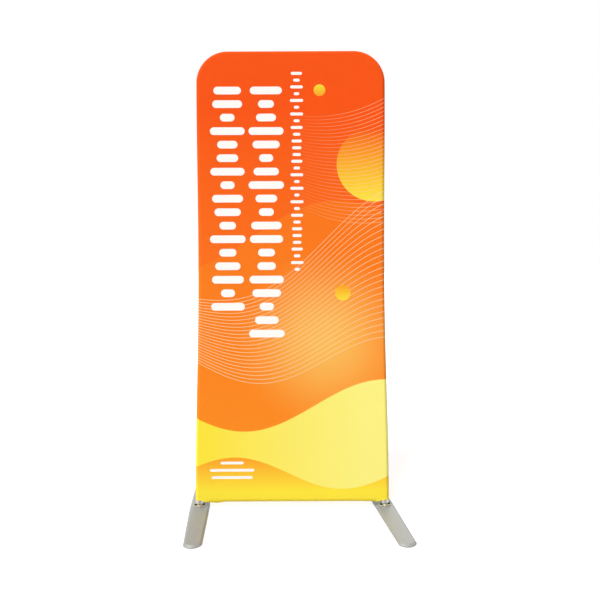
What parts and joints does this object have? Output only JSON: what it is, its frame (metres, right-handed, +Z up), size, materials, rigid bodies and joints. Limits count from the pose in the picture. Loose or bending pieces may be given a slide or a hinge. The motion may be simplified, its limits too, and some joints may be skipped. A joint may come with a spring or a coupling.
{
  "type": "pillow top banner stand",
  "caption": "Free-standing banner: a stretch print cover zipped over a round-tube frame with rounded top corners, on two flat swivelling feet.",
  "frame": {"origin": "on the floor, under the middle of the stand's outline", "axes": "+Z up, +X to the right seen from the printed front, which faces -Y"},
  "size_m": [0.9706, 0.597, 2.0434],
  "materials": {
    "frame_tube": "satin anodised",
    "spigot_sleeve": "mill finish",
    "bush": "moulded nylon",
    "snap_button": "zinc plated",
    "snap_spring": "spring steel strip",
    "rivet": "plain",
    "cover_print_front": "dye-printed stretch polyester",
    "cover_print_back": "dye-printed stretch polyester",
    "zip_tape": "woven polyester tape",
    "zip_metal": "nickel plated",
    "foot_plate": "silver powder coat",
    "foot_hub": "satin silver",
    "hub_screw": "black oxide",
    "foot_pad": "matt"
  },
  "bodies": {
    "frame": {"bottom_crossbar": "frame_tube", "cover_back": "cover_print_back", "cover_front": "cover_print_front", "lower_spigot_left": "spigot_sleeve", "lower_spigot_right": "spigot_sleeve", "lower_upright_left": "frame_tube", "lower_upright_right": "frame_tube", "snap_spring_crossbar_left": "snap_spring", "snap_spring_crossbar_right": "snap_spring", "snap_spring_lower_left": "snap_spring", "snap_spring_lower_right": "snap_spring", "snap_spring_top": "snap_spring", "snap_spring_upper_left": "snap_spring", "snap_spring_upper_right": "snap_spring", "spigot_rivet_lower_left": "rivet", "spigot_rivet_lower_right": "rivet", "spigot_rivet_top": "rivet", "spigot_rivet_upper_left": "rivet", "spigot_rivet_upper_right": "rivet", "top_bow_left": "frame_tube", "top_bow_right": "frame_tube", "top_spigot": "spigot_sleeve", "upper_spigot_left": "spigot_sleeve", "upper_spigot_right": "spigot_sleeve", "upper_upright_left": "frame_tube", "upper_upright_right": "frame_tube", "upright_bush_left": "bush", "upright_bush_right": "bush", "zip_stop_left": "zip_metal", "zip_stop_right": "zip_metal", "zip_tape_back": "zip_tape", "zip_tape_front": "zip_tape"},
    "zip_slider": {"zip_slider": "zip_metal"},
    "zip_pull": {"zip_pull": "zip_metal"},
    "foot_left": {"foot_hub_left": "foot_hub", "foot_pad_left_1": "foot_pad", "foot_pad_left_2": "foot_pad", "foot_pad_left_3": "foot_pad", "foot_pad_left_4": "foot_pad", "foot_plate_left": "foot_plate", "hub_screw_left_a": "hub_screw", "hub_screw_left_b": "hub_screw"},
    "foot_right": {"foot_hub_right": "foot_hub", "foot_pad_right_1": "foot_pad", "foot_pad_right_2": "foot_pad", "foot_pad_right_3": "foot_pad", "foot_pad_right_4": "foot_pad", "foot_plate_right": "foot_plate", "hub_screw_right_a": "hub_screw", "hub_screw_right_b": "hub_screw"},
    "snap_button_crossbar_left": {"snap_button_crossbar_left": "snap_button"},
    "snap_button_crossbar_right": {"snap_button_crossbar_right": "snap_button"},
    "snap_button_lower_left": {"snap_button_lower_left": "snap_button"},
    "snap_button_lower_right": {"snap_button_lower_right": "snap_button"},
    "snap_button_top": {"snap_button_top": "snap_button"},
    "snap_button_upper_left": {"snap_button_upper_left": "snap_button"},
    "snap_button_upper_right": {"snap_button_upper_right": "snap_button"}
  },
  "joints": [
    {"name": "foot_left_swivel", "type": "hinge", "parent": "frame", "child": "foot_left", "pos_m": [-0.41968, 0, 0], "axis": [0, 0, 1], "continuous": true},
    {"name": "foot_right_swivel", "type": "hinge", "parent": "frame", "child": "foot_right", "pos_m": [0.40871, 0, 0], "axis": [0, 0, 1], "continuous": true},
    {"name": "snap_button_crossbar_left_press", "type": "slide", "parent": "frame", "child": "snap_button_crossbar_left", "axis": [0, 0, -1], "range_m": [0, 0.005], "stiffness_N_per_m": 1500, "springref_m": -0.002, "deforming": ["snap_spring_crossbar_left"]},
    {"name": "snap_button_crossbar_right_press", "type": "slide", "parent": "frame", "child": "snap_button_crossbar_right", "axis": [0, 0, -1], "range_m": [0, 0.005], "stiffness_N_per_m": 1500, "springref_m": -0.002, "deforming": ["snap_spring_crossbar_right"]},
    {"name": "snap_button_lower_left_press", "type": "slide", "parent": "frame", "child": "snap_button_lower_left", "axis": [-0.9999, 0, 0.0162], "range_m": [0, 0.005], "stiffness_N_per_m": 1500, "springref_m": -0.002, "deforming": ["snap_spring_lower_left"]},
    {"name": "snap_button_lower_right_press", "type": "slide", "parent": "frame", "child": "snap_button_lower_right", "axis": [0.9999, 0, 0.0162], "range_m": [0, 0.005], "stiffness_N_per_m": 1500, "springref_m": -0.002, "deforming": ["snap_spring_lower_right"]},
    {"name": "snap_button_top_press", "type": "slide", "parent": "frame", "child": "snap_button_top", "axis": [0, 0, 1], "range_m": [0, 0.005], "stiffness_N_per_m": 1500, "springref_m": -0.002, "deforming": ["snap_spring_top"]},
    {"name": "snap_button_upper_left_press", "type": "slide", "parent": "frame", "child": "snap_button_upper_left", "axis": [-1, 0, -0.0091], "range_m": [0, 0.005], "stiffness_N_per_m": 1500, "springref_m": -0.002, "deforming": ["snap_spring_upper_left"]},
    {"name": "snap_button_upper_right_press", "type": "slide", "parent": "frame", "child": "snap_button_upper_right", "axis": [1, 0, -0.0091], "range_m": [0, 0.005], "stiffness_N_per_m": 1500, "springref_m": -0.002, "deforming": ["snap_spring_upper_right"]},
    {"name": "zip_slide", "type": "slide", "parent": "frame", "child": "zip_slider", "axis": [1, 0, 0], "range_m": [-0.7371, 0]},
    {"name": "zip_pull_swing", "type": "hinge", "parent": "zip_slider", "child": "zip_pull", "pos_m": [0.3631, 0, 0.02941], "axis": [0, 1, 0], "range_deg": [-80, 80]}
  ]
}
